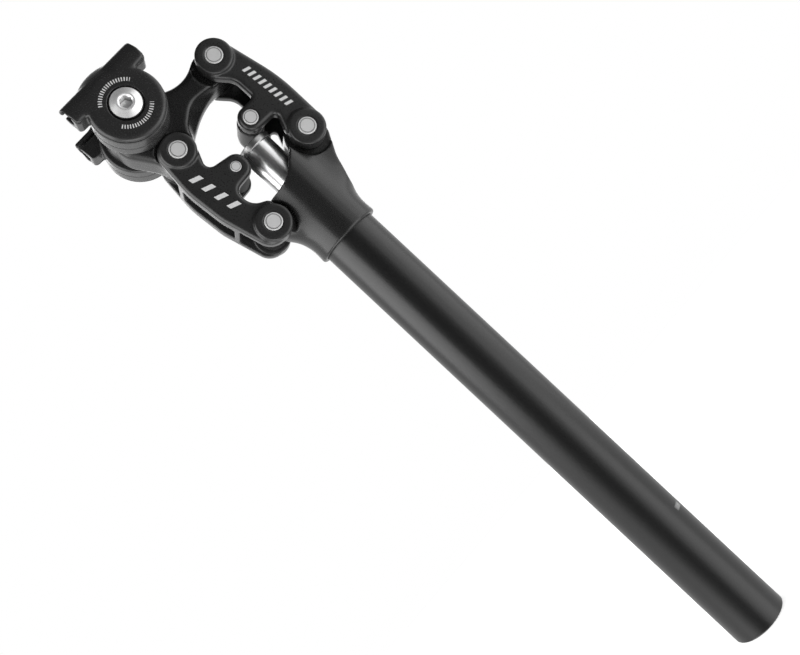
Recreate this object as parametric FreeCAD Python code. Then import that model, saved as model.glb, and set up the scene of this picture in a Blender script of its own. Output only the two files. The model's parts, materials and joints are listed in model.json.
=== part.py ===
"""Parallelogram suspension seatpost, 27.2 mm post, as an assembly of separate solids.

Frame, in millimetres: +Z runs up the post axis, +X points to the front of the bicycle and +Y to its left.
The origin is on the post axis, in the lower face of the housing's collar, where the post stops going in.
Two equal, parallel links carry the saddle head. As they swing to the rear, a roller on the front link
pushes a plunger down into the post, against a coil spring whose preload plug closes the post's lower end.
"""
import FreeCAD, Part
import math
import os

V = FreeCAD.Vector
Y_AXIS = V(0, 1, 0)
Z_AXIS = V(0, 0, 1)

# ---------------------------------------------------------------- driving dimensions
POST_R = 13.6            # 27.2 mm post
POST_BORE_R = 11.0
POST_EXPOSED = 245.0     # post below the collar
POST_SEAT = 22.0         # turned-down end of the post, pressed into the collar
POST_SEAT_R = 13.3
COLLAR_R = 15.8          # 31.6 mm collar
FOOT_BEVEL = 0.5

LINK = (-5.5, 50.0)      # from each lower pivot to its upper pivot
FRONT_LOW = (19.4, 45.0)
REAR_LOW = (-21.7, 25.7)
FRONT_TOP = (FRONT_LOW[0] + LINK[0], FRONT_LOW[1] + LINK[1])
REAR_TOP = (REAR_LOW[0] + LINK[0], REAR_LOW[1] + LINK[1])
ROLLER_AT = (5.2, 64.9)  # roller pin in the front link's arm
BUMPER_AT = (-15.1, 54.0)  # bumper pin in the rear link's arm

LUG_HALF = 7.2           # half width of every lug between two link plates
LUG_R = 7.8
FLANGE_T = 0.4           # flange of a pivot bush
PLATE_IN = 7.75          # inner faces of the link bosses
CHANNEL_HALF = 8.3       # inner faces of the link plates away from the bosses
PLATE_OUT = 13.4         # outer faces of the link plates
BOSS_OUT = 15.0          # outer faces of the pivot bosses
BOSS_R = 8.4
AXLE_R = 4.0
AXLE_PROUD = 0.25
SCREW_SPLIT = 11.2       # where a pivot axle ends and its screw's head begins
SCREW_SHANK_R = 2.5
SCREW_SHANK = 12.0
BUSH_R = 5.2
RUNNING = 0.05           # radial clearance of a running fit
SEATED = 0.02            # radial gap left round a seated part

ROLLER_R = 6.0
ROLLER_HALF = 6.9
ROLLER_PIN_R = 3.4
ARM_BOSS_R = 5.6
BUMPER_R = 5.8
BUMPER_PIN_R = 2.4

PLUNGER_R = 8.0
CAP_R = 8.8
CAP_T = 3.1
CAP_TOP = ROLLER_AT[1] - ROLLER_R - 0.05
PLUNGER_FOOT = -26.0
GUIDE_R = 9.6            # outside of the guide bush
GUIDE_TOP = 32.0
GUIDE_BOTTOM = 4.0

CLAMP_AT = (-30.4, 100.5)  # clamp bolt axis
CLAMP_TILT = 3.7         # degrees that the rails point up at the front
BARREL_R = 14.2
HEAD_HALF = 9.4
ARCH_RIM_HALF = 2.2      # half width of the rim under the head's arch
FLANGE_HALF = 10.8       # outer faces of the head barrel, which the inner clamps bear on
SPIGOT_R = 9.0
SPIGOT_HALF = 13.4
DISC_R = 16.5
INNER_FROM = 11.1
INNER_TO = 24.6
SEAM_AT = 18.0           # groove round the drum of the inner clamp
SEAM_HALF = 0.3
SEAM_DEPTH = 0.6
OUTER_FROM = 24.9
OUTER_TO = 27.4
DOME_R = 22.6            # outer clamp's dome, at its inner edge
HOOK_IN = 18.3           # inner edge of the hook over the rail
HOOK_TOP = 20.1
RAIL_R = 3.5
RAIL_HALF_GAUGE = 22.0
RAIL_RISE = 14.8         # rail centre above the clamp bolt
JAW_REAR = 19.8          # rail jaws, behind and in front of the clamp bolt
JAW_FRONT = 21.4
BOLT_R = 4.0
BOLT_HEAD_R = 7.1
BOLT_SEAT = OUTER_TO - 1.25  # floor of the recess in the outer clamps

PLUG_R = 10.85
PLUG_BOTTOM = -241.5
PLUG_LENGTH = 20.0
SEAT_T = 6.0
SPRING_WIRE_R = 1.5
SPRING_MEAN_R = 8.9
SPRING_TURNS = 19


# ---------------------------------------------------------------- shape helpers
def cylinder(x, z, r, y0, y1):
    """A cylinder along Y, from y0 to y1."""
    return Part.makeCylinder(r, y1 - y0, V(x, y0, z), Y_AXIS)


def post_cylinder(r, z0, z1, x=0.0, y=0.0):
    return Part.makeCylinder(r, z1 - z0, V(x, y, z0), Z_AXIS)


def tube(outer_r, inner_r, z0, z1):
    return post_cylinder(outer_r, z0, z1).cut(post_cylinder(inner_r, z0 - 1, z1 + 1))


def cone(x, z, r0, r1, y0, y1):
    """A cone along Y, of radius r0 at y0 and r1 at y1. y1 may be below y0."""
    way = 1 if y1 > y0 else -1
    return Part.makeCone(r0, r1, abs(y1 - y0), V(x, y0, z), V(0, way, 0))


def fitted_radii(points, radii):
    """The corner radii, cut back where two neighbouring arcs would not fit on the side between them."""
    count = len(points)
    reach = []
    for i, p in enumerate(points):
        half = (points[i - 1] - p).getAngle(points[(i + 1) % count] - p) / 2
        reach.append(radii[i] / math.tan(half))
    share = [1.0] * count
    for i in range(count):
        j = (i + 1) % count
        need = (reach[i] + reach[j]) / (0.995 * (points[j] - points[i]).Length)
        if need > 1:
            share[i] = min(share[i], 1 / need)
            share[j] = min(share[j], 1 / need)
    return [r * k for r, k in zip(radii, share)]


def rounded_wire(corners, place):
    """A closed wire through corners (u, v, radius), each turned by an arc of at most its radius."""
    points = [V(u, v, 0) for u, v, r in corners]
    radii = fitted_radii(points, [r for u, v, r in corners])
    count = len(points)
    stretches = []
    for i, p in enumerate(points):
        before = (points[i - 1] - p).normalize()
        after = (points[(i + 1) % count] - p).normalize()
        half = before.getAngle(after) / 2
        middle = (before + after).normalize()
        start = p + before * (radii[i] / math.tan(half))
        end = p + after * (radii[i] / math.tan(half))
        top = p + middle * (radii[i] / math.sin(half) - radii[i])
        stretches.append((start, top, end))
    edges = []
    for i, (start, top, end) in enumerate(stretches):
        last = stretches[i - 1][2]
        if (start - last).Length > 1e-5:
            edges.append(Part.LineSegment(place(last), place(start)).toShape())
        if radii[i] > 0:
            edges.append(Part.Arc(place(start), place(top), place(end)).toShape())
    return Part.Wire(edges)


def side_prism(corners, y0, y1):
    """A prism along Y, from y0 to y1, of a side-view outline (x, z, radius)."""
    wire = rounded_wire(corners, lambda p: V(p.x, y0, p.y))
    return Part.Face(wire).extrude(V(0, y1 - y0, 0))


def front_prism(corners, x0, x1):
    """A prism along X, from x0 to x1, of a front-view outline (y, z, radius)."""
    wire = rounded_wire(corners, lambda p: V(x0, p.x, p.y))
    return Part.Face(wire).extrude(V(x1 - x0, 0, 0))


def hexagon(across_flats, origin, direction, depth):
    """A hexagonal prism from origin along direction."""
    r = across_flats / math.sqrt(3)
    turn = FreeCAD.Rotation(Z_AXIS, direction)
    corners = []
    for i in range(7):
        a = math.radians(60 * i)
        corners.append(origin + turn.multVec(V(r * math.cos(a), r * math.sin(a), 0)))
    face = Part.Face(Part.makePolygon(corners))
    return face.extrude(direction * depth)


def softened(shape, picks, radii):
    """shape with the picked edges rounded, at the first of radii that works."""
    edges = [e for e in shape.Edges if picks(e)]
    for r in radii:
        try:
            done = shape.makeFillet(r, edges)
            if done.isValid() and done.Volume > 0 and len(done.Solids) == 1:
                return done
        except Exception:
            continue
    print("no fillet", radii, len(edges))
    return shape


def at_y(level):
    """Picks edges that lie wholly in the planes y = +level and y = -level."""
    def pick(edge):
        box = edge.BoundBox
        return box.YLength < 1e-4 and abs(abs(box.YMin) - level) < 1e-3
    return pick


def at_one_y(level):
    def pick(edge):
        box = edge.BoundBox
        return box.YLength < 1e-4 and abs(box.YMin - level) < 1e-3
    return pick


def at_z(level):
    def pick(edge):
        box = edge.BoundBox
        return box.ZLength < 1e-4 and abs(box.ZMin - level) < 1e-3
    return pick


def span(side, near, far):
    """The ordered y limits of a stretch from near to far on one side."""
    return (side * near, side * far) if side > 0 else (side * far, side * near)


def mirrored(shape):
    return shape.mirror(V(0, 0, 0), Y_AXIS)


def solid(shape):
    """One clean solid."""
    clean = shape.removeSplitter()
    found = clean.Solids
    if len(found) != 1:
        print("expected one solid, found", len(found), [round(s.Volume, 1) for s in found])
    return max(found, key=lambda s: s.Volume)


# ---------------------------------------------------------------- post, housing and spring
def post_tube():
    shaft = softened(tube(POST_R, POST_BORE_R, -POST_EXPOSED, 0), at_z(-POST_EXPOSED), (0.8,))
    return solid(shaft.fuse(tube(POST_SEAT_R, POST_BORE_R, -1, POST_SEAT)))


# Half width of the housing's upper section, as (x, y), against the angle on the collar that each
# point grows out of. The same quarter serves front, rear, left and right.
UPPER_QUARTER = [
    (33.0, 0.0, 0), (31.5, 6.2, 14), (25.0, 8.0, 28), (18.5, 8.8, 41), (12.5, 10.8, 55), (6.5, 14.4, 72),
    (0.0, 15.8, 90)]
# Heights of the housing's sections, and how far each has turned from collar to upper section.
SECTIONS = [(0, 0.0), (8, 0.0), (14, 0.10), (22, 0.48), (30, 0.88), (40, 1.0), (56, 1.0)]


def housing_section(z, share):
    """A closed smooth section, from the collar's circle (share 0) to the upper section (share 1)."""
    points = []
    for front, left in ((1, 1), (-1, 1), (-1, -1), (1, -1)):
        quarter = []
        for x, y, degrees in UPPER_QUARTER:
            cx = COLLAR_R * math.cos(math.radians(degrees))
            cy = COLLAR_R * math.sin(math.radians(degrees))
            quarter.append(V(front * (cx + (x - cx) * share), left * (cy + (y - cy) * share), z))
        if front * left < 0:
            quarter.reverse()
        points += quarter[:-1]
    curve = Part.BSplineCurve()
    curve.interpolate(points, PeriodicFlag=True)
    return Part.Wire(curve.toShape())


def housing_outline():
    """The housing from the side: collar, rear lug, curved mouth, front lug."""
    fx, fz = FRONT_LOW
    rx, rz = REAR_LOW
    lug = LUG_R
    return [
        (-17.5, 0.0, 0),
        (-17.5, 11.0, 8.0),
        (rx - 2.2, rz - lug - 0.9, 7.0),
        (rx - lug - 0.3, rz - 1.0, 6.5),
        (rx - 6.6, rz + lug + 0.7, 7.0),
        (rx + 6.0, rz + lug + 0.4, 4.0),
        (-4.0, 34.6, 14.0),
        (8.0, 44.5, 8.0),
        (fx - 10.0, fz + 3.5, 3.0),
        (fx - 7.0, fz + lug, 6.0),
        (fx + lug, fz + lug, 7.4),
        (fx + lug + 0.5, fz - 5.2, 9.0),
        (20.8, 28.2, 20.0),
        (17.5, 17.0, 14.0),
        (17.5, 0.0, 0),
    ]


def housing():
    forging = Part.makeLoft([housing_section(z, share) for z, share in SECTIONS], True, False)
    body = forging.common(side_prism(housing_outline(), -20, 20))
    for side in (-1, 1):
        for (x, z), r in ((FRONT_LOW, 11.6), (REAR_LOW, 10.2)):
            body = body.cut(cylinder(x, z, r, *span(side, LUG_HALF, 30)))
    body = body.cut(post_cylinder(POST_SEAT_R + SEATED, -1, POST_SEAT + 0.5))
    body = body.cut(post_cylinder(GUIDE_R + SEATED, POST_SEAT - 1, 70))
    for x, z in (FRONT_LOW, REAR_LOW):
        body = body.cut(cylinder(x, z, BUSH_R + SEATED, -30, 30))
    return solid(body.cut(foot_bevel()))


def foot_bevel():
    """Ring that bevels the outer edge of the housing's lower face."""
    core = Part.makeCone(COLLAR_R - FOOT_BEVEL, COLLAR_R, FOOT_BEVEL, V(0, 0, 0), Z_AXIS)
    return post_cylinder(COLLAR_R + 4, 0, FOOT_BEVEL).cut(core)


def guide_bush():
    """Plain bush that the plunger slides in, with a lip that stands on the post's upper end."""
    sleeve = tube(GUIDE_R, PLUNGER_R + RUNNING, POST_SEAT + 0.6, GUIDE_TOP)
    nose = tube(POST_BORE_R - 0.05, PLUNGER_R + RUNNING, GUIDE_BOTTOM, POST_SEAT + 0.1)
    bridge = tube(GUIDE_R, PLUNGER_R + RUNNING, POST_SEAT, POST_SEAT + 0.7)
    return solid(sleeve.fuse([nose, bridge]))


def plunger():
    body = post_cylinder(PLUNGER_R, PLUNGER_FOOT, CAP_TOP - CAP_T)
    foot = post_cylinder(POST_BORE_R - 0.6, PLUNGER_FOOT, PLUNGER_FOOT + 3.0)
    spigot = post_cylinder(SPRING_MEAN_R - SPRING_WIRE_R - 0.3, PLUNGER_FOOT - 8.0, PLUNGER_FOOT + 1)
    hollow = post_cylinder(PLUNGER_R - 2.4, PLUNGER_FOOT - 9.0, CAP_TOP - CAP_T - 6.0)
    return solid(body.fuse([foot, spigot]).cut(hollow))


def plunger_cap():
    """Hardened wear disc that the roller runs on."""
    disc = post_cylinder(CAP_R, CAP_TOP - CAP_T, CAP_TOP)
    disc = softened(disc, lambda e: at_z(CAP_TOP)(e) or at_z(CAP_TOP - CAP_T)(e), (0.5,))
    return solid(disc)


def spring_ends():
    return PLUG_BOTTOM + PLUG_LENGTH + SEAT_T, PLUNGER_FOOT


def main_spring():
    bottom, top = spring_ends()
    wire_r = SPRING_WIRE_R
    low, high = bottom + wire_r * 0.55, top - wire_r * 0.55
    pitch = (high - low) / SPRING_TURNS
    helix = Part.makeHelix(pitch, high - low, SPRING_MEAN_R)
    helix.translate(V(0, 0, low))
    start = V(SPRING_MEAN_R, 0, low)
    section = Part.Wire(Part.makeCircle(wire_r, start, V(0, 1, pitch / (2 * math.pi * SPRING_MEAN_R))))
    coil = Part.Wire(helix.Edges).makePipeShell([section], True, True)
    ground = post_cylinder(POST_BORE_R, bottom + 0.02, top - 0.02)
    return max(coil.common(ground).Solids, key=lambda s: s.Volume)


def spring_seat():
    """Cup washer that keeps the spring's lower end central and turns on the plug's nose."""
    bottom = PLUG_BOTTOM + PLUG_LENGTH
    washer = post_cylinder(POST_BORE_R - 0.4, bottom, bottom + SEAT_T)
    spigot = post_cylinder(SPRING_MEAN_R - SPRING_WIRE_R - 0.3, bottom, bottom + SEAT_T + 7.0)
    hole = post_cylinder(3.2, bottom - 1, bottom + SEAT_T + 9)
    socket = post_cylinder(4.1, bottom - 1, bottom + 3.1)
    return solid(washer.fuse(spigot).cut(hole).cut(socket))


def preload_plug():
    """Threaded plug with an internal hexagon. Turning it in presses the spring seat up."""
    top = PLUG_BOTTOM + PLUG_LENGTH - 0.05
    body = post_cylinder(PLUG_R, PLUG_BOTTOM, top)
    body = softened(body, lambda e: at_z(PLUG_BOTTOM)(e) or at_z(top)(e), (0.8,))
    grooves = []
    turns, pitch, depth = 11, 1.5, 0.55
    for i in range(turns):
        z = PLUG_BOTTOM + 2.2 + i * pitch
        ring = Part.makeCone(PLUG_R + 0.01, PLUG_R - depth, pitch / 2, V(0, 0, z), Z_AXIS)
        upper = Part.makeCone(PLUG_R - depth, PLUG_R + 0.01, pitch / 2, V(0, 0, z + pitch / 2), Z_AXIS)
        blank = post_cylinder(PLUG_R + 1, z, z + pitch)
        grooves.append(blank.cut(ring.fuse(upper)))
    for groove in grooves:
        body = body.cut(groove)
    body = body.cut(hexagon(6.0, V(0, 0, PLUG_BOTTOM - 1), Z_AXIS, 11.0))
    body = body.cut(Part.makeCone(4.6, 3.0, 1.6, V(0, 0, PLUG_BOTTOM - 0.2), Z_AXIS))
    nose = post_cylinder(4.0, top - 1, top + 3.0)
    return solid(body.fuse(nose))


# ---------------------------------------------------------------- links
def boss(at, side, radius=BOSS_R, inner=PLATE_IN, outer=BOSS_OUT, rim=1.1):
    y0, y1 = span(side, inner, outer)
    disc = cylinder(at[0], at[1], radius, y0, y1)
    return softened(disc, at_one_y(side * outer), (rim,))


def front_link_outline():
    bx, bz = FRONT_LOW
    ax, az = FRONT_TOP
    px, pz = ROLLER_AT
    arm = ARM_BOSS_R
    return [
        (ax - 7.6, az + 7.0, 7.0),
        (ax + 7.2, az + 7.6, 7.4),
        (28.35, 70.0, 80.0),
        (bx + 8.9, bz - 7.6, 7.8),
        (bx - 7.8, bz - 7.8, 7.4),
        (bx - 7.6, bz + 6.0, 4.0),
        (15.4, 59.2, 1.8),
        (px - arm, pz - arm, 5.4),
        (px - arm + 0.4, pz + arm + 0.2, 5.4),
        (12.9, 71.0, 1.8),
        (12.7, 82.0, 8.0),
        (ax - 7.7, az - 6.0, 5.0),
    ]


def front_link_channel():
    """The space between the plates, behind the front web."""
    bx, bz = FRONT_LOW
    ax, az = FRONT_TOP
    return [
        (-10.0, 120.0, 0), (ax + 30, 120.0, 0), (ax + 30, az - 2.0, 0), (ax + 4.6, az - 9.5, 3.0),
        (23.4, 70.0, 20.0), (bx + 3.6, bz + 10.5, 3.0), (bx + 30, bz + 2.0, 0), (bx + 30, 20.0, 0),
        (-10.0, 20.0, 0)]


def drilled(body, holes):
    for (x, z), r in holes:
        body = body.cut(cylinder(x, z, r, -30, 30))
    return body


def front_link():
    block = side_prism(front_link_outline(), -PLATE_OUT, PLATE_OUT)
    block = softened(block, at_y(PLATE_OUT), (1.9, 1.5, 1.2, 0.8))
    block = block.cut(side_prism(front_link_channel(), -CHANNEL_HALF, CHANNEL_HALF))
    for x, z in (FRONT_TOP, FRONT_LOW):
        block = block.cut(cylinder(x, z, LUG_R + 1.6, -CHANNEL_HALF, CHANNEL_HALF))
    bosses = [boss(at, side) for at in (FRONT_TOP, FRONT_LOW) for side in (-1, 1)]
    body = block.fuse(bosses)
    holes = ((FRONT_TOP, AXLE_R + SEATED), (FRONT_LOW, AXLE_R + SEATED), (ROLLER_AT, ROLLER_PIN_R + SEATED))
    return solid(drilled(body, holes))


def rear_link_outline():
    dx, dz = REAR_LOW
    cx, cz = REAR_TOP
    px, pz = BUMPER_AT
    arm = ARM_BOSS_R
    return [
        (cx - 8.2, cz + 8.0, 7.0),
        (cx + 7.6, cz + 7.7, 7.4),
        (cx + 6.6, cz - 5.0, 6.0),
        (-24.8, 61.6, 3.0),
        (-19.0, 60.6, 9.0),
        (px + arm + 0.4, pz + arm - 0.6, 5.2),
        (px + arm + 0.2, pz - arm - 0.2, 5.2),
        (-22.2, 46.8, 4.0),
        (-22.9, 38.0, 7.0),
        (dx + 6.6, dz + 8.4, 4.0),
        (dx + 8.0, dz - 8.0, 7.8),
        (dx - 8.2, dz - 8.2, 7.8),
        (-36.3, 42.0, 30.0),
        (-37.9, 60.0, 45.0),
    ]


def rear_link_channel():
    """The space between the plates, in front of the rear web."""
    dx, dz = REAR_LOW
    cx, cz = REAR_TOP
    return [
        (0.0, 110.0, 0), (cx - 30, 110.0, 0), (cx - 30, cz - 3.0, 0), (cx - 6.2, cz - 10.0, 3.0),
        (-33.6, 52.0, 25.0), (dx - 8.2, dz + 9.5, 3.0), (dx - 30, dz + 1.0, 0), (dx - 30, 0.0, 0),
        (0.0, 0.0, 0)]


def rear_window():
    """The long window in the rear web, between its two crossbars."""
    return front_prism([(-6.2, 36.2, 1.5), (6.2, 36.2, 1.5), (6.2, 63.6, 1.5), (-6.2, 63.6, 1.5)], -50, -30)


def rear_link():
    block = side_prism(rear_link_outline(), -PLATE_OUT, PLATE_OUT)
    block = softened(block, at_y(PLATE_OUT), (1.8, 1.4, 1.0, 0.7))
    block = block.cut(side_prism(rear_link_channel(), -CHANNEL_HALF, CHANNEL_HALF))
    for x, z in (REAR_TOP, REAR_LOW):
        block = block.cut(cylinder(x, z, LUG_R + 1.3, -CHANNEL_HALF, CHANNEL_HALF))
    block = block.cut(rear_window())
    bosses = [boss(REAR_TOP, side, radius=BOSS_R - 0.4) for side in (-1, 1)]
    bosses += [boss(REAR_LOW, side, radius=BOSS_R - 0.1) for side in (-1, 1)]
    body = block.fuse(bosses)
    holes = ((REAR_TOP, AXLE_R + SEATED), (REAR_LOW, AXLE_R + SEATED), (BUMPER_AT, BUMPER_PIN_R + SEATED))
    return solid(drilled(body, holes))


def pin_end(at, radius, y, side):
    """The shallow ring groove in the end of a pin."""
    y0, y1 = span(side, abs(y) - 0.25, abs(y) + 1)
    ring = cylinder(at[0], at[1], radius * 0.84, y0, y1)
    return ring.cut(cylinder(at[0], at[1], radius * 0.74, y0 - 1, y1 + 1))


def axle(at):
    """Pivot axle, from its plain right end to the face that its screw pulls against."""
    end = BOSS_OUT + AXLE_PROUD
    body = cylinder(at[0], at[1], AXLE_R, -end, SCREW_SPLIT)
    body = softened(body, at_one_y(-end), (0.35,))
    body = body.cut(pin_end(at, AXLE_R, end, -1))
    body = body.cut(cylinder(at[0], at[1], SCREW_SHANK_R + SEATED, SCREW_SPLIT - SCREW_SHANK - 1, SCREW_SPLIT + 1))
    return solid(body)


def axle_screw(at):
    """Button screw in the left end of an axle, with an internal hexagon."""
    end = BOSS_OUT + AXLE_PROUD
    head = cylinder(at[0], at[1], AXLE_R, SCREW_SPLIT + SEATED, end)
    head = softened(head, at_one_y(end), (0.5,))
    head = head.cut(hexagon(4.0, V(at[0], end + 0.01, at[1]), V(0, -1, 0), 2.6))
    shank = cylinder(at[0], at[1], SCREW_SHANK_R, SCREW_SPLIT - SCREW_SHANK, SCREW_SPLIT + 1)
    return solid(head.fuse(shank))


def plain_pin(at, radius, outer):
    """A pin through both arms of a link, with a ring groove in each end."""
    body = cylinder(at[0], at[1], radius, -outer, outer)
    body = softened(body, at_y(outer), (0.35,))
    for side in (-1, 1):
        body = body.cut(pin_end(at, radius, outer, side))
    return solid(body)


def roller():
    x, z = ROLLER_AT
    body = cylinder(x, z, ROLLER_R, -ROLLER_HALF, ROLLER_HALF)
    body = softened(body, at_y(ROLLER_HALF), (0.6,))
    return solid(body.cut(cylinder(x, z, ROLLER_PIN_R + RUNNING, -20, 20)))


def roller_washers():
    x, z = ROLLER_AT

    def washer(side):
        disc = cylinder(x, z, ROLLER_R - 0.9, *span(side, ROLLER_HALF + 0.1, CHANNEL_HALF - 0.1))
        return disc.cut(cylinder(x, z, ROLLER_PIN_R + SEATED, -20, 20))

    return Part.makeCompound([washer(-1), washer(1)])


def bumper_sleeve():
    """Rubber sleeve on the rear link's arm pin, which meets the plunger cap as the links spring back."""
    x, z = BUMPER_AT
    half = CHANNEL_HALF - 0.15
    body = cylinder(x, z, BUMPER_R, -half, half)
    body = softened(body, at_y(half), (0.8,))
    return solid(body.cut(cylinder(x, z, BUMPER_PIN_R + SEATED, -20, 20)))


def flanged_bush(at, side):
    """Half-length flanged bush, pressed into a lug from one side."""
    x, z = at
    sleeve = cylinder(x, z, BUSH_R, *span(side, 0.3, LUG_HALF + 0.1))
    flange = cylinder(x, z, BUSH_R + 1.4, *span(side, LUG_HALF + SEATED, LUG_HALF + FLANGE_T))
    return solid(sleeve.fuse(flange).cut(cylinder(x, z, AXLE_R + RUNNING, -20, 20)))


def bushes(pivots):
    return Part.makeCompound([flanged_bush(at, side) for at in pivots for side in (-1, 1)])


# ---------------------------------------------------------------- saddle head and clamp
def head_outline():
    ax, az = FRONT_TOP
    cx, cz = REAR_TOP
    kx, kz = CLAMP_AT
    lug = LUG_R + 0.1
    return [
        (ax + lug, az + lug, lug - 0.05),
        (ax + lug, az - lug, lug - 0.05),
        (ax - 4.5, az - lug, 9.0),
        (-4.0, 85.0, 40.0),
        (-15.2, 78.6, 8.0),
        (cx + lug, cz + 0.5, 3.0),
        (cx + lug, cz - lug, lug - 0.05),
        (cx - lug, cz - lug, lug - 0.05),
        (cx - lug - 0.6, cz + 3.0, 9.0),
        (kx - BARREL_R + 0.5, kz - 9.5, 11.0),
        (kx - BARREL_R, kz + BARREL_R - 0.6, 13.0),
        (kx + BARREL_R - 1.4, kz + BARREL_R - 0.4, 12.0),
        (kx + BARREL_R + 1.8, kz + 1.8, 8.0),
        (-3.5, 96.7, 18.0),
        (ax - 6.0, az + lug, 8.0),
    ]


def arch_bevel(side):
    """Tool that thins one side of the web down to the narrow rim of the head's arch."""
    under = 60.0
    rim = [(9.6, 86.9, 0), (-4.0, 84.8, 40.0), (-15.4, 78.4, 8.0), (-18.0, 75.5, 0), (-18.0, under, 0),
           (9.6, under, 0)]
    face = [(9.6, 87.0, 0), (-7.0, 89.2, 9.0), (-15.8, 82.2, 8.0), (-17.8, 75.5, 0), (-17.8, under, 0),
            (9.6, under, 0)]
    near = rounded_wire(rim, lambda p: V(p.x, side * ARCH_RIM_HALF, p.y))
    far = rounded_wire(face, lambda p: V(p.x, side * HEAD_HALF, p.y))
    return Part.makeLoft([near, far], True, True)


def saddle_head():
    kx, kz = CLAMP_AT
    body = side_prism(head_outline(), -HEAD_HALF, HEAD_HALF)
    body = softened(body, at_y(HEAD_HALF), (3.6, 3.0, 2.4, 1.8, 1.2))
    body = body.cut(arch_bevel(-1)).cut(arch_bevel(1))
    for side in (-1, 1):
        for (x, z), r in ((FRONT_TOP, 11.2), (REAR_TOP, 9.7)):
            body = body.cut(cylinder(x, z, r, *span(side, LUG_HALF, 30)))
    barrel = cylinder(kx, kz, BARREL_R, -FLANGE_HALF, FLANGE_HALF)
    barrel = softened(barrel, at_y(FLANGE_HALF), (1.0,))
    spigot = cylinder(kx, kz, SPIGOT_R, -SPIGOT_HALF, SPIGOT_HALF)
    spigot = softened(spigot, at_y(SPIGOT_HALF), (0.5,))
    body = body.fuse([barrel, spigot])
    rear = cylinder(*REAR_TOP, 9.7, -30, 30).cut(cylinder(*REAR_TOP, 60, -LUG_HALF, LUG_HALF))
    body = body.cut(rear)
    holes = ((CLAMP_AT, BOLT_R + 0.3), (FRONT_TOP, BUSH_R + SEATED), (REAR_TOP, BUSH_R + SEATED))
    return solid(drilled(body, holes))


def clamp_section(points, x0=-JAW_REAR, x1=JAW_FRONT):
    """A bar along X of a cross-section (distance to the left, height above the clamp bolt, radius)."""
    kx, kz = CLAMP_AT
    return front_prism([(y, kz + z, r) for y, z, r in points], kx + x0, kx + x1)


def rail_cylinder():
    kx, kz = CLAMP_AT
    return Part.makeCylinder(RAIL_R, 80, V(kx - 40, RAIL_HALF_GAUGE, kz + RAIL_RISE), V(1, 0, 0))


def placed(shape, side):
    """A left-hand clamp piece turned to the tilt of the rails, and mirrored if it is the right one."""
    kx, kz = CLAMP_AT
    shape = solid(shape)
    shape.rotate(V(kx, 0, kz), V(0, -1, 0), CLAMP_TILT)
    return solid(mirrored(shape)) if side < 0 else shape


def inner_clamp(side):
    """Inner half of the rail clamp: a drum on the head's spigot, with the cradle that the rail lies in."""
    kx, kz = CLAMP_AT
    drum = cylinder(kx, kz, DISC_R, INNER_FROM, INNER_TO)
    drum = softened(drum, at_one_y(INNER_FROM), (1.4,))
    drum = softened(drum, at_one_y(INNER_TO), (0.3,))
    cradle = clamp_section([
        (16.2, 6.0, 0), (24.0, 6.0, 0), (26.2, 9.6, 1.2), (26.2, 11.4, 0.5), (22.0, 15.6, 0), (19.0, 16.6, 0.3),
        (17.6, 16.6, 0.6), (16.2, 15.0, 1.0)], -JAW_REAR + 0.3, JAW_FRONT - 0.3)
    cradle = cradle.cut(lower_corners())
    body = drum.fuse(cradle)
    outside = cylinder(kx, kz, DISC_R + 1, SEAM_AT - SEAM_HALF, SEAM_AT + SEAM_HALF)
    body = body.cut(outside.cut(cylinder(kx, kz, DISC_R - SEAM_DEPTH, INNER_FROM, INNER_TO)))
    clearance = clamp_section([
        (INNER_TO + 0.05, 6.0, 0), (INNER_TO + 0.05, 9.2, 0), (26.8, 11.2, 0), (22.0, 15.6, 0), (19.0, 16.9, 0),
        (15.5, 16.9, 0), (15.5, 40.0, 0), (40.0, 40.0, 0), (40.0, 6.0, 0)], -40, 40)
    body = body.cut(clearance).cut(rail_cylinder())
    body = body.cut(cylinder(kx, kz, SPIGOT_R + 0.1, 5, SPIGOT_HALF + 0.15))
    return placed(body.cut(cylinder(kx, kz, BOLT_R + 0.3, -40, 40)), side)


def lower_corners():
    """The corners that the rail jaws' ends are rounded off by, from the side."""
    kx, kz = CLAMP_AT
    block = Part.makeBox(120, 60, 60, V(kx - 60, 5, kz - 10))
    jaw = side_prism([
        (kx - JAW_REAR, kz + 8.2, 2.4), (kx + JAW_FRONT, kz + 8.2, 2.4), (kx + JAW_FRONT, kz + 60, 0),
        (kx - JAW_REAR, kz + 60, 0)], 0, 80)
    middle = cylinder(kx, kz, DISC_R - 1.0, 0, 80)
    return block.cut(jaw).cut(middle)


def dome():
    """The outer clamp's dome, turned about the bolt axis between its flat face and the hook."""
    kx, kz = CLAMP_AT
    face_r = DISC_R - 1.9
    points = [(OUTER_TO, face_r), (26.4, face_r + 1.7), (24.0, face_r + 4.4), (21.0, face_r + 6.8), (HOOK_IN, DOME_R)]
    curve = Part.BSplineCurve()
    curve.interpolate([V(kx, y, kz + r) for y, r in points])
    side = curve.toShape()
    base = Part.makePolygon([V(kx, HOOK_IN, kz + DOME_R), V(kx, HOOK_IN, kz), V(kx, OUTER_TO, kz),
                             V(kx, OUTER_TO, kz + face_r)])
    face = Part.Face(Part.Wire([side] + base.Edges))
    return face.revolve(V(kx, 0, kz), Y_AXIS, 360)


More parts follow.
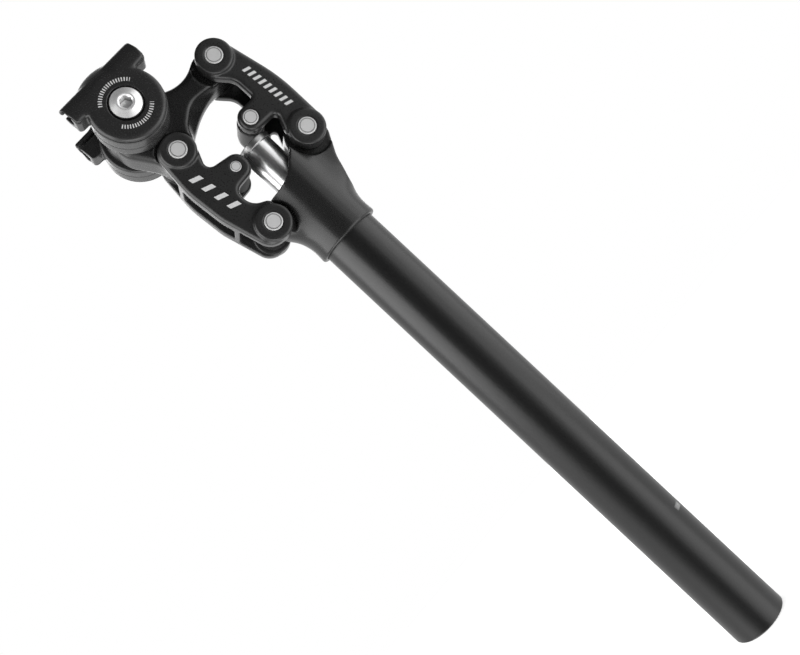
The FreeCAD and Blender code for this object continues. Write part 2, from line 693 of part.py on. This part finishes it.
def outer_clamp(side):
    """Outer half of the rail clamp: a round plate with a dome and a hook over the rail."""
    kx, kz = CLAMP_AT
    plate = cylinder(kx, kz, DISC_R, OUTER_FROM, OUTER_TO)
    plate = softened(plate, at_one_y(OUTER_TO), (1.9, 1.5))
    jaw = clamp_section([
        (OUTER_FROM, 6.0, 0), (26.4, 6.0, 0), (27.3, 10.0, 1.5), (27.1, 14.2, 3.0), (24.6, 18.4, 4.5),
        (19.4, 20.6, 1.0), (HOOK_IN, 20.0, 0.6), (HOOK_IN, 16.0, 0), (22.0, 15.0, 0), (OUTER_FROM, 9.6, 0)])
    jaw = jaw.cut(lower_corners())
    cap = dome().common(clamp_section([
        (HOOK_IN, 9.6, 0), (40, 9.6, 0), (40, 40, 0), (HOOK_IN, 40, 0)], -13.6, 13.6))
    body = plate.fuse([jaw, cap])
    clearance = clamp_section([
        (10, -30, 0), (OUTER_FROM, -30, 0), (OUTER_FROM, 8.95, 0), (26.5, 10.45, 0), (26.5, 11.9, 0), (22.0, 15.9, 0),
        (18.7, 18.2, 0), (10, 18.2, 0)], -60, 60)
    body = body.cut(clearance).cut(rail_cylinder())
    body = body.cut(cylinder(kx, kz, BOLT_HEAD_R + 0.45, BOLT_SEAT - 0.05, 40))
    return placed(body.cut(cylinder(kx, kz, BOLT_R + 0.2, -40, 40)), side)


def clamp_bolt():
    """Clamp bolt with a low conical head and an internal hexagon, put in from the right."""
    kx, kz = CLAMP_AT
    rim = OUTER_TO + 0.1
    top = OUTER_TO + 1.5
    head = cylinder(kx, kz, BOLT_HEAD_R, -rim, -BOLT_SEAT)
    dome_head = cone(kx, kz, BOLT_HEAD_R, BOLT_HEAD_R - 3.2, -rim, -top)
    head = head.fuse(dome_head)
    shank = cylinder(kx, kz, BOLT_R, -BOLT_SEAT - 0.5, OUTER_TO + 0.7)
    body = head.fuse(shank)
    body = body.cut(hexagon(5.0, V(kx, -top - 0.01, kz), Y_AXIS, 4.4))
    return solid(body.cut(cone(kx, kz, 3.3, 2.5, -top - 0.01, -top + 0.6)))


def clamp_nut():
    """Round nut in the left outer clamp."""
    kx, kz = CLAMP_AT
    top = OUTER_TO + 1.0
    bevel = 0.7
    head = cylinder(kx, kz, BOLT_HEAD_R, BOLT_SEAT, top - bevel)
    body = head.fuse(cone(kx, kz, BOLT_HEAD_R, BOLT_HEAD_R - 1.0, top - bevel, top))
    for degrees in (0, 90):
        slot = Part.makeBox(16, 1.2, 2.0, V(kx - 8, top - 1.0, kz - 1.0))
        slot.rotate(V(kx, 0, kz), Y_AXIS, degrees)
        body = body.cut(slot)
    return solid(body.cut(cylinder(kx, kz, BOLT_R + RUNNING, -40, 40)))


# ---------------------------------------------------------------- the assembly
def parts():
    return {
        "post_tube": post_tube(),
        "lower_housing": housing(),
        "plunger_guide_bush": guide_bush(),
        "housing_pivot_bushes": bushes((FRONT_LOW, REAR_LOW)),
        "plunger": plunger(),
        "plunger_cap": plunger_cap(),
        "main_spring": main_spring(),
        "spring_seat": spring_seat(),
        "preload_plug": preload_plug(),
        "front_link": front_link(),
        "axle_front_lower": axle(FRONT_LOW),
        "axle_front_upper": axle(FRONT_TOP),
        "axle_screws_front": Part.makeCompound([axle_screw(FRONT_LOW), axle_screw(FRONT_TOP)]),
        "roller_pin": plain_pin(ROLLER_AT, ROLLER_PIN_R, PLATE_OUT + 0.6),
        "roller": roller(),
        "roller_washers": roller_washers(),
        "rear_link": rear_link(),
        "axle_rear_lower": axle(REAR_LOW),
        "axle_rear_upper": axle(REAR_TOP),
        "axle_screws_rear": Part.makeCompound([axle_screw(REAR_LOW), axle_screw(REAR_TOP)]),
        "bumper_pin": plain_pin(BUMPER_AT, BUMPER_PIN_R, PLATE_OUT + 0.3),
        "bumper_sleeve": bumper_sleeve(),
        "saddle_head": saddle_head(),
        "head_pivot_bushes": bushes((FRONT_TOP, REAR_TOP)),
        "inner_clamp_right": inner_clamp(-1),
        "inner_clamp_left": inner_clamp(1),
        "outer_clamp_right": outer_clamp(-1),
        "outer_clamp_left": outer_clamp(1),
        "clamp_bolt": clamp_bolt(),
        "clamp_nut": clamp_nut(),
    }


def main():
    os.makedirs("parts", exist_ok=True)
    for name, shape in parts().items():
        if not shape.isValid():
            print("invalid", name)
        shape.exportStep("parts/" + name + ".step")
        print(name, len(shape.Solids), round(shape.Volume / 1000, 2), "cm3")


main()
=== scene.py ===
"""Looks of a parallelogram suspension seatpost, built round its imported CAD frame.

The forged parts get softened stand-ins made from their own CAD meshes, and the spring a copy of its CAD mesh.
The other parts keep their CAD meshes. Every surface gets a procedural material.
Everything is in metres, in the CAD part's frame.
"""
import json
import math

import bmesh
import bpy
from mathutils import Euler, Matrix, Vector


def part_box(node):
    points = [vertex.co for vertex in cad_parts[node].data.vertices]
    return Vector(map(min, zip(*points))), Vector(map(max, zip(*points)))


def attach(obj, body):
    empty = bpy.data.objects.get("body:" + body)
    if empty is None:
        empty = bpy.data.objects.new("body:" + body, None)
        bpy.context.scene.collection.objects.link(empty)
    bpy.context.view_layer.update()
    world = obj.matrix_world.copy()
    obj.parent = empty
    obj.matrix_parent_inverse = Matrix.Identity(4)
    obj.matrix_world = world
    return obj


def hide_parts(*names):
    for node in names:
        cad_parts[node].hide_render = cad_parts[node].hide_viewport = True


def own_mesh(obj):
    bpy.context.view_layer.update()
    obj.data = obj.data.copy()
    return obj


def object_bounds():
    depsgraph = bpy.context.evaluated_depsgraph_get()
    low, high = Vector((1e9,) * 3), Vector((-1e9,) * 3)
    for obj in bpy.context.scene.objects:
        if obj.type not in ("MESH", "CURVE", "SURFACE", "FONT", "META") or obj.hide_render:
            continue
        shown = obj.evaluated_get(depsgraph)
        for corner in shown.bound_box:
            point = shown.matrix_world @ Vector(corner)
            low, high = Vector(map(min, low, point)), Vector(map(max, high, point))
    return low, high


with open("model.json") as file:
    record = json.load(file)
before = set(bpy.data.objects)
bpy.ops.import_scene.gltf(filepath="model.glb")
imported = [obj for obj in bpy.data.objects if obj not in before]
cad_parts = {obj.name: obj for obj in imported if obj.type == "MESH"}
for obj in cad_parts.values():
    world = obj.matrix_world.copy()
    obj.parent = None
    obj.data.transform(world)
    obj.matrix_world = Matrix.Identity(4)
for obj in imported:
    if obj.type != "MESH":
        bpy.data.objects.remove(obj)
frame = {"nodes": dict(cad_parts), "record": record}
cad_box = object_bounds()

MM = 0.001
NODES = frame["nodes"]
BODY_OF = {node: body for body, members in frame["record"]["behaviour"]["bodies"].items() for node in members}

RANGE_SOCKETS = ("From Min", "From Max", "To Min", "To Max")

# ---------------------------------------------------------------- camera, floor and light
CAMERA_AT = Vector((-0.11369, -0.42887, -0.05031))
CAMERA_ANGLES = (91.294, 46.930, -12.082)
CAMERA_LENS = 45.4                       # mm, on a sensor of the width below
SENSOR_WIDTH = 36.0
NEAREST_SEEN = 0.01
FLOOR_GAP = 0.05 * MM
FLOOR_HALF = 0.6
PAPER_WHITE = 0.9
# Dark cards in the white studio: the way to each card, and the light from its rim to its middle.
CARDS = (
    ((-0.10, -0.99, 0.10), (0.15, 0.86, 1.0, 0.035)),
    ((0.0, -0.30, 0.95), (0.20, 0.90, 1.0, 0.06)),
)
STUDIO = 0.85
# Lit patches in the same form: one low in front of the object, and one below its rear side.
PATCHES = (
    ((0.42, -0.72, -0.55), (0.80, 0.99, 0.0, 1.7)),
    ((-0.58, -0.20, -0.79), (0.85, 0.99, 0.0, 2.6)),
)
LIT_POINT = Vector((-0.008, 0.0, 0.03))
FLOOR_GLOW = 0.65
# Softboxes: name, azimuth, elevation, distance, (width, height) and radiance.
LIGHTS = (
    ("rear_side", -78, 17, 0.9, (1.1, 1.0), 2.6),
    ("front_side", 75, 10, 1.1, (0.8, 1.0), 0.95),
    ("front_right", 42, 0, 0.7, (0.43, 0.8), 0.8),
    ("back", 165, 25, 1.3, (1.2, 0.9), 1.6),
)


def add_camera():
    camera = bpy.data.cameras.new("camera")
    camera.lens = CAMERA_LENS
    camera.sensor_width = SENSOR_WIDTH
    camera.clip_start = NEAREST_SEEN
    thing = bpy.data.objects.new("camera", camera)
    thing.location = CAMERA_AT
    thing.rotation_euler = Euler([math.radians(a) for a in CAMERA_ANGLES], "XYZ")
    bpy.context.scene.collection.objects.link(thing)
    bpy.context.scene.camera = thing


def softbox(name, azimuth, elevation, distance, size, radiance):
    """A soft rectangular light of size (width, height), aimed at the linkage.

    Azimuth 0 is at -Y and 90 at +X.
    """
    turn, rise = math.radians(azimuth), math.radians(elevation)
    way = Vector((math.sin(turn) * math.cos(rise), -math.cos(turn) * math.cos(rise), math.sin(rise)))
    light = bpy.data.lights.new(name, "AREA")
    light.shape = "RECTANGLE"
    light.size, light.size_y = size
    light.energy = radiance * math.pi * size[0] * size[1]
    thing = bpy.data.objects.new(name, light)
    thing.location = LIT_POINT + way * distance
    thing.rotation_euler = (-way).to_track_quat("-Z", "Y").to_euler()
    bpy.context.scene.collection.objects.link(thing)


def add_world():
    """White studio all round, with dark cards where the right side and the top look, and two lit patches."""
    world = bpy.data.worlds.new("studio")
    bpy.context.scene.world = world
    world.use_nodes = True
    tree = world.node_tree
    tree.nodes.clear()
    place = tree.nodes.new("ShaderNodeTexCoord").outputs["Generated"]

    def lobe(way, fade):
        dot = tree.nodes.new("ShaderNodeVectorMath")
        dot.operation = "DOT_PRODUCT"
        dot.inputs[1].default_value = Vector(way).normalized()
        tree.links.new(place, dot.inputs[0])
        level = tree.nodes.new("ShaderNodeMapRange")
        level.interpolation_type = "SMOOTHSTEP"
        for name, value in zip(RANGE_SOCKETS, fade):
            level.inputs[name].default_value = value
        tree.links.new(dot.outputs["Value"], level.inputs["Value"])
        return level.outputs["Result"]

    def joined(operation, first, second):
        made = tree.nodes.new("ShaderNodeMath")
        made.operation = operation
        for socket, value in zip(made.inputs, (first, second)):
            if isinstance(value, float):
                socket.default_value = value
            else:
                tree.links.new(value, socket)
        return made.outputs[0]

    shaded = joined("MULTIPLY", lobe(*CARDS[0]), lobe(*CARDS[1]))
    strength = joined("MULTIPLY", shaded, STUDIO)
    for way, fade in PATCHES:
        strength = joined("ADD", strength, lobe(way, fade))
    lit = tree.nodes.new("ShaderNodeBackground")
    tree.links.new(strength, lit.inputs["Strength"])
    backdrop = tree.nodes.new("ShaderNodeBackground")
    for made in (lit, backdrop):
        made.inputs["Color"].default_value = (1, 1, 1, 1)
    mix = tree.nodes.new("ShaderNodeMixShader")
    tree.links.new(tree.nodes.new("ShaderNodeLightPath").outputs["Is Camera Ray"], mix.inputs[0])
    tree.links.new(lit.outputs[0], mix.inputs[1])
    tree.links.new(backdrop.outputs[0], mix.inputs[2])
    tree.links.new(mix.outputs[0], tree.nodes.new("ShaderNodeOutputWorld").inputs[0])


def add_floor():
    low = cad_box[0].z - FLOOR_GAP
    mesh = bpy.data.meshes.new("floor")
    half = FLOOR_HALF
    corners = [(-half, -half, low), (half, -half, low), (half, half, low), (-half, half, low)]
    mesh.from_pydata(corners, [], [(0, 1, 2, 3)])
    floor = bpy.data.objects.new("floor", mesh)
    bpy.context.scene.collection.objects.link(floor)
    floor.visible_glossy = False
    floor.visible_shadow = False
    paper = Shader("floor_paper")
    paper.set("Base Color", grey(PAPER_WHITE))
    paper.set("Roughness", 0.9)
    paper.set("Specular IOR Level", 0.0)
    paper.set("Emission Color", grey(1))
    paper.set("Emission Strength", FLOOR_GLOW)
    mesh.materials.append(paper.material)


# ---------------------------------------------------------------- materials
# One minus the cosine between the bevelled and the true normal, where an edge starts and where it is full.
EDGE_START, EDGE_FULL = 0.02, 0.35
WORN_PAINT = 0.05
WORN_ANODISING = 0.10
CLOUD_SCALE = 500
# Painted shade for turned metal: how far the occlusion looks for grooves and recesses, and the colour they
# are darkened to.
GROOVE_SHADE_REACH = 0.5 * MM
GROOVE_SHADE_DARK = 0.01
PRINT_WHITE = 0.62
PRINT_DEPTH = 13.0 * MM                  # the bars lie on what stands further from the middle plane than this
TICK_DEPTH = 26.9 * MM                   # and the clamps' ticks on what stands further out than this
# from and to azimuth in degrees, low and high, ticks in a full turn and printed share of each
POST_TICKS = (36, 56, -184.4 * MM, -182.0 * MM, 72, 0.4)


class Shader:
    """A node material, with short calls for the nodes that are used here."""

    def __init__(self, name):
        self.material = bpy.data.materials.new(name)
        self.material.use_nodes = True
        self.tree = self.material.node_tree
        self.main = self.tree.nodes["Principled BSDF"]
        self.place = self.node("ShaderNodeTexCoord").outputs["Object"]

    def node(self, kind, **values):
        made = self.tree.nodes.new(kind)
        for key, value in values.items():
            setattr(made, key, value)
        return made

    def set(self, socket, value):
        self.main.inputs[socket].default_value = value

    def link(self, source, target):
        self.tree.links.new(source, target)

    def noise(self, scale, detail=2.0, roughness=0.5, stretch=None):
        made = self.node("ShaderNodeTexNoise")
        made.inputs["Scale"].default_value = scale
        made.inputs["Detail"].default_value = detail
        made.inputs["Roughness"].default_value = roughness
        place = self.place
        if stretch:
            mapping = self.node("ShaderNodeMapping")
            mapping.inputs["Scale"].default_value = stretch
            self.link(self.place, mapping.inputs["Vector"])
            place = mapping.outputs["Vector"]
        self.link(place, made.inputs["Vector"])
        return made.outputs[0]

    def maths(self, operation, a, b=0.0):
        made = self.node("ShaderNodeMath", operation=operation)
        for socket, value in zip(made.inputs, (a, b)):
            if isinstance(value, (int, float)):
                socket.default_value = value
            else:
                self.link(value, socket)
        return made.outputs[0]

    def ranged(self, value, low, high, to_low, to_high):
        made = self.node("ShaderNodeMapRange")
        self.link(value, made.inputs["Value"])
        for name, number in zip(RANGE_SOCKETS, (low, high, to_low, to_high)):
            made.inputs[name].default_value = number
        return made.outputs["Result"]

    def blend(self, share, first, second):
        """Colour that goes from first to second as share goes from 0 to 1."""
        made = self.node("ShaderNodeMix", data_type="RGBA")
        self.link(share, made.inputs["Factor"])
        for name, value in (("A", first), ("B", second)):
            socket = [s for s in made.inputs if s.name == name and s.type == "RGBA"][0]
            if isinstance(value, tuple):
                socket.default_value = value
            else:
                self.link(value, socket)
        return [s for s in made.outputs if s.type == "RGBA"][0]

    def edges(self, radius):
        """1 along convex and concave edges, 0 on flat faces."""
        bevel = self.node("ShaderNodeBevel", samples=4)
        bevel.inputs["Radius"].default_value = radius
        normal = self.node("ShaderNodeNewGeometry").outputs["Normal"]
        dot = self.node("ShaderNodeVectorMath", operation="DOT_PRODUCT")
        self.link(bevel.outputs[0], dot.inputs[0])
        self.link(normal, dot.inputs[1])
        bent = self.maths("SUBTRACT", 1.0, dot.outputs["Value"])
        return self.ranged(bent, EDGE_START, EDGE_FULL, 0.0, 1.0)

    def bump(self, *layers):
        """Adds bump from (height, distance) layers, one on the other."""
        normal = None
        for height, distance in layers:
            made = self.node("ShaderNodeBump")
            made.inputs["Distance"].default_value = distance
            self.link(height, made.inputs["Height"])
            if normal is not None:
                self.link(normal, made.inputs["Normal"])
            normal = made.outputs["Normal"]
        self.link(normal, self.main.inputs["Normal"])

    def roughness(self, source):
        self.link(source, self.main.inputs["Roughness"])

    def colour(self, source):
        self.link(source, self.main.inputs["Base Color"])


def grey(level, blue=0.0):
    return (level, level, level * (1 + blue), 1)


def between(made, value, low, high):
    """1 where value lies between low and high, else 0."""
    above = made.maths("GREATER_THAN", value, low)
    return made.maths("MULTIPLY", above, made.maths("LESS_THAN", value, high))


def coordinates(made):
    """The x, y and z of the shaded place."""
    split = made.node("ShaderNodeSeparateXYZ")
    made.link(made.place, split.inputs[0])
    return split.outputs


def distance_from(made, centre):
    """The shaded place's distance from the Y axis through centre (x, z), and its angle about that axis."""
    x, _, z = coordinates(made)
    dx = made.maths("SUBTRACT", x, centre[0])
    dz = made.maths("SUBTRACT", z, centre[1])
    squares = made.maths("ADD", made.maths("MULTIPLY", dx, dx), made.maths("MULTIPLY", dz, dz))
    return made.maths("SQRT", squares), made.maths("ARCTAN2", dz, dx)


def outer_faces(made, depth):
    """1 on what stands further from the middle plane than depth, with the x and z of the place."""
    x, y, z = coordinates(made)
    return made.maths("GREATER_THAN", made.maths("ABSOLUTE", y), depth), x, z


def printed_bars(made, start, end, height, pitch, share, lean):
    """A printed row of leaning bars from start to end, each (x, z), on both outer faces."""
    side, x, z = outer_faces(made, PRINT_DEPTH)
    along = Vector((end[0] - start[0], end[1] - start[1]))
    length = along.length
    along.normalize()
    dx = made.maths("SUBTRACT", x, start[0])
    dz = made.maths("SUBTRACT", z, start[1])
    u = made.maths("ADD", made.maths("MULTIPLY", dx, along.x), made.maths("MULTIPLY", dz, along.y))
    v = made.maths("SUBTRACT", made.maths("MULTIPLY", dz, along.x), made.maths("MULTIPLY", dx, along.y))
    u = made.maths("SUBTRACT", u, made.maths("MULTIPLY", v, lean))
    step = made.maths("FRACT", made.maths("DIVIDE", u, pitch))
    row = made.maths("MULTIPLY", between(made, u, 0.0, length), between(made, v, -height / 2, height / 2))
    return made.maths("MULTIPLY", made.maths("MULTIPLY", row, made.maths("LESS_THAN", step, share)), side)


def printed_ticks(made, centre, inner, outer, arcs, count, share):
    """Printed radial ticks in arcs (from, to, in degrees) round centre (x, z), on both outer faces."""
    side = outer_faces(made, TICK_DEPTH)[0]
    radius, angle = distance_from(made, centre)
    turn = made.maths("ADD", angle, math.pi)
    step = made.maths("FRACT", made.maths("MULTIPLY", turn, count / (2 * math.pi)))
    spread = 0.0
    for low, high in arcs:
        spread = made.maths("ADD", spread, between(made, angle, math.radians(low), math.radians(high)))
    ring = made.maths("MULTIPLY", between(made, radius, inner, outer), spread)
    return made.maths("MULTIPLY", made.maths("MULTIPLY", ring, made.maths("LESS_THAN", step, share)), side)


def satin_paint(name, dark, light, gloss, prints=()):
    """Satin black paint on a forging: fine orange peel, mottled sheen, paler thin paint on the edges.

    dark and light are the paint's mottled greys, gloss its roughness, and prints (pattern, values) pairs.
    """
    made = Shader(name)
    mottle = made.noise(220, 4, 0.6)
    base = made.blend(mottle, grey(dark), grey(light))
    fine = made.noise(5200, 2, 0.5)
    patches = made.ranged(made.noise(900, 3, 0.7), 0.45, 0.75, 0.0, 1.0)
    wear = made.maths("MULTIPLY", made.edges(0.35 * MM), patches)
    colour = made.blend(wear, base, grey(WORN_PAINT))
    for pattern, values in prints:
        colour = made.blend(pattern(made, *values), colour, grey(PRINT_WHITE))
    made.colour(colour)
    made.roughness(made.ranged(made.noise(1400, 3, 0.6), 0.3, 0.7, gloss - 0.02, gloss + 0.04))
    made.bump((made.noise(1100, 3, 0.6), 0.006 * MM), (fine, 0.002 * MM))
    made.set("Specular IOR Level", 0.5)
    return made.material


def post_ticks(made):
    """A few printed ticks near the post's lower end, between two azimuths and two heights."""
    start, end, low, high, count, share = POST_TICKS
    x, y, z = coordinates(made)
    angle = made.maths("ARCTAN2", x, made.maths("MULTIPLY", y, -1.0))
    step = made.maths("FRACT", made.maths("MULTIPLY", angle, count / (2 * math.pi)))
    patch = made.maths("MULTIPLY", between(made, angle, math.radians(start), math.radians(end)),
                       between(made, z, low, high))
    return made.maths("MULTIPLY", patch, made.maths("LESS_THAN", step, share))


def anodised():
    """Matte black anodised tube, with a faint drawn grain along the post and fine speckle."""
    made = Shader("post_anodised")
    grain = made.noise(1500, 3, 0.6, stretch=(1, 1, 0.05))
    speckle = made.noise(4200, 2, 0.6)
    base = made.blend(grain, grey(0.004), grey(0.008))
    wear = made.maths("MULTIPLY", made.edges(0.3 * MM), 0.5)
    worn = made.blend(wear, base, grey(WORN_ANODISING))
    made.colour(made.blend(post_ticks(made), worn, grey(PRINT_WHITE)))
    made.roughness(made.ranged(speckle, 0.3, 0.7, 0.27, 0.36))
    made.bump((grain, 0.010 * MM), (speckle, 0.012 * MM))
    made.set("Specular IOR Level", 0.6)
    return made.material


def turned_metal(name, level, rough, metallic=1.0, gap_shadow_rim=None):
    """Plated or turned metal: cloudy plating, fine random grain, bright rubbed edges, and painted shade that
    darkens its grooves and recesses.

    The optional rim (centre, radius) paints a shadow: beyond that radius the metal is painted as dark as the
    shadowed gap round it.
    """
    made = Shader(name)
    made.set("Metallic", metallic)
    cloud = made.noise(CLOUD_SCALE, 3, 0.6)
    fine = made.noise(6000, 2, 0.5)
    base = made.blend(cloud, grey(level * 0.9), grey(level))
    rubbed = made.maths("MULTIPLY", made.edges(0.15 * MM), 0.3)
    bright = made.blend(rubbed, base, grey(min(1.0, level * 1.2)))
    # Painted shade: ambient occlusion over a short reach darkens grooves and recesses towards the shade
    # colour.
    shade = made.node("ShaderNodeAmbientOcclusion", samples=6)
    shade.inputs["Distance"].default_value = GROOVE_SHADE_REACH
    unshaded_share = made.ranged(shade.outputs["AO"], 0.35, 0.9, 0.12, 1.0)
    # Painted shadow: outside the given radius the colour is the shade colour, for the shadowed gap round the
    # bolt head.
    if gap_shadow_rim:
        centre, radius = gap_shadow_rim
        inside = made.maths("LESS_THAN", distance_from(made, centre)[0], radius)
        unshaded_share = made.maths("MULTIPLY", unshaded_share, inside)
    made.colour(made.blend(unshaded_share, grey(GROOVE_SHADE_DARK), bright))
    made.roughness(made.ranged(fine, 0.3, 0.7, rough - 0.04, rough + 0.06))
    made.bump((fine, 0.003 * MM), (cloud, 0.003 * MM))
    return made.material


def chrome():
    """Chrome plate with faint streaks along the plunger."""
    made = Shader("plunger_chrome")
    made.set("Metallic", 1.0)
    streak = made.noise(900, 3, 0.6, stretch=(1, 1, 0.02))
    made.colour(made.blend(streak, grey(0.86), grey(0.93, 0.01)))
    made.roughness(made.ranged(streak, 0.3, 0.7, 0.26, 0.34))
    made.bump((streak, 0.002 * MM))
    return made.material


def plastic(name, level, rough):
    """Moulded polymer or rubber: cloudy, finely grained and a little paler on its edges."""
    made = Shader(name)
    cloud = made.noise(600, 3, 0.6)
    fine = made.noise(3500, 2, 0.5)
    base = made.blend(cloud, grey(level * 0.75), grey(level * 1.15))
    rubbed = made.maths("MULTIPLY", made.edges(0.2 * MM), 0.4)
    made.colour(made.blend(rubbed, base, grey(level * 2.2)))
    made.roughness(made.ranged(fine, 0.3, 0.7, rough - 0.07, rough + 0.07))
    made.bump((fine, 0.02 * MM))
    return made.material


# ---------------------------------------------------------------- forged parts and spring
WELD = 1e-7
KEPT_FACES = 0.4
CRISP_FADE = 3 * MM                      # over this distance the crisp region goes over into the soft one
CRISP_SHARE = 0.05


def evaluated(thing):
    """The mesh of an object with its modifiers applied."""
    graph = bpy.context.evaluated_depsgraph_get()
    return bpy.data.meshes.new_from_object(thing.evaluated_get(graph))


def soft_forging(node, material, voxel, rounds, crisp=None):
    """A stand-in for a CAD forging, from its own mesh, with its edges and inside corners rounded.

    crisp is (x, z, radius) of a round region about a Y axis that stays as sharp as the CAD has it.
    """
    thing = bpy.data.objects.new(node + "_forged", NODES[node].data.copy())
    bpy.context.scene.collection.objects.link(thing)
    weld = bmesh.new()
    weld.from_mesh(thing.data)
    bmesh.ops.remove_doubles(weld, verts=weld.verts, dist=WELD)
    weld.to_mesh(thing.data)
    weld.free()
    remesh = thing.modifiers.new("remesh", "REMESH")
    remesh.mode = "VOXEL"
    remesh.voxel_size = voxel * MM
    thing.data = evaluated(thing)
    thing.modifiers.clear()
    group = thing.vertex_groups.new(name="soft")
    weights = {}
    for vertex in thing.data.vertices:
        share = 1.0
        if crisp:
            x, z, radius = crisp
            away = math.hypot(vertex.co.x - x, vertex.co.z - z) - radius
            share = min(1.0, max(CRISP_SHARE, away / CRISP_FADE))
        weights.setdefault(round(share, 1), []).append(vertex.index)
    for share, indices in weights.items():
        group.add(indices, share, "REPLACE")
    smooth = thing.modifiers.new("smooth", "SMOOTH")
    smooth.factor = 0.5
    smooth.iterations = rounds
    smooth.vertex_group = group.name
    thin = thing.modifiers.new("thin", "DECIMATE")
    thin.ratio = KEPT_FACES
    thing.data = evaluated(thing)
    thing.modifiers.clear()
    thing.data.materials.clear()
    thing.data.materials.append(material)
    for face in thing.data.polygons:
        face.use_smooth = True
    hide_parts(node)
    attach(thing, BODY_OF[node])
    return thing


def coil(node, material):
    """The coil spring, as a copy of its CAD mesh."""
    thing = bpy.data.objects.new(node + "_coil", NODES[node].data.copy())
    bpy.context.scene.collection.objects.link(thing)
    thing.data.materials.clear()
    thing.data.materials.append(material)
    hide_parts(node)
    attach(thing, BODY_OF[node])
    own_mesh(thing)
    return thing


def paint_node(node, material):
    """Gives a CAD node that keeps its mesh a better material."""
    thing = NODES[node]
    for slot in thing.material_slots:
        slot.material = material
    if not thing.material_slots:
        thing.data.materials.append(material)


# ---------------------------------------------------------------- the seatpost
def middle(node):
    """The middle of a CAD node's box."""
    low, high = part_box(node)
    return (low + high) / 2


BOLT = middle("clamp_bolt")
# Radius of the clamp bolt head's bright middle; beyond it the bolt is painted dark, as the shadow in the gap
# round the head.
BOLT_SHADOW_FROM_R = 6.65 * MM
# start, end, height, pitch, printed share and lean of each row of bars
LINK_PRINTS = (
    (printed_bars, ((19.7 * MM, 82.0 * MM), (21.9 * MM, 56.6 * MM), 3.4 * MM, 2.9 * MM, 0.48, 0.35)),
    (printed_bars, ((-31.2 * MM, 62.8 * MM), (-26.9 * MM, 37.6 * MM), 4.4 * MM, 6.4 * MM, 0.36, 0.55)),
)
# centre, inner and outer radius, arcs in degrees, ticks in a full turn and printed share of each
CLAMP_PRINTS = (
    (printed_ticks, ((BOLT.x, BOLT.z), 9.5 * MM, 11.2 * MM, ((37, 147), (-145, -41)), 60, 0.42)),
)
CRISP_R = 8.5 * MM
# finish, voxel in mm, smoothing rounds and the radius about the clamp bolt that stays crisp
FORGINGS = {
    "lower_housing": ("forging_black", 0.42, 12, None),
    "saddle_head": ("forging_black", 0.45, 26, None),
    "front_link": ("link_black", 0.36, 8, None),
    "rear_link": ("link_black", 0.36, 8, None),
    "inner_clamp_right": ("clamp_black", 0.28, 4, None),
    "inner_clamp_left": ("clamp_black", 0.28, 4, None),
    "outer_clamp_right": ("clamp_black", 0.30, 80, CRISP_R),
    "outer_clamp_left": ("clamp_black", 0.30, 80, CRISP_R),
}


def finishes():
    """A material for each of the record's material slots."""
    return {
        "post_anodised": anodised(),
        "forging_black": satin_paint("forging_black", dark=0.009, light=0.015, gloss=0.26),
        "link_black": satin_paint("link_black", dark=0.013, light=0.021, gloss=0.28, prints=LINK_PRINTS),
        "clamp_black": satin_paint("clamp_black", dark=0.015, light=0.024, gloss=0.25, prints=CLAMP_PRINTS),
        "pin_zinc": turned_metal("pin_zinc", level=0.62, rough=0.42, metallic=0.3),
        # The bolt's rim beyond its bright middle is painted dark, a painted shadow of the gap round its head.
        "bolt_zinc": turned_metal("bolt_zinc", level=0.85, rough=0.3, metallic=0.6,
                                  gap_shadow_rim=((BOLT.x, BOLT.z), BOLT_SHADOW_FROM_R)),
        "plunger_chrome": chrome(),
        "cap_steel": turned_metal("cap_steel", level=0.55, rough=0.34),
        "spring_steel": turned_metal("spring_steel", level=0.35, rough=0.34),
        "bush_polymer": plastic("bush_polymer", level=0.03, rough=0.5),
        "roller_polymer": plastic("roller_polymer", level=0.03, rough=0.42),
        "bumper_rubber": plastic("bumper_rubber", level=0.015, rough=0.62),
        "plug_black": turned_metal("plug_black", level=0.05, rough=0.45),
    }


def node_slots():
    """The record's material slot of each CAD node."""
    found = {}
    for name, thing in NODES.items():
        slots = [slot.material.name for slot in thing.material_slots if slot.material]
        found[name] = slots[0].split(".")[0] if slots else "forging_black"
    return found


def dress():
    """Gives each forging and the spring its stand-in, and every other node its finish."""
    slots = node_slots()
    made = finishes()
    for node in NODES:
        if node in FORGINGS:
            name, voxel, rounds, radius = FORGINGS[node]
            crisp = (BOLT.x, BOLT.z, radius) if radius else None
            soft_forging(node, made[name], voxel, rounds, crisp)
        elif node == "main_spring":
            coil(node, made[slots[node]])
        else:
            paint_node(node, made[slots[node]])


add_camera()
add_world()
add_floor()
for light in LIGHTS:
    softbox(*light)
bpy.context.scene.view_settings.view_transform = "Standard"
dress()
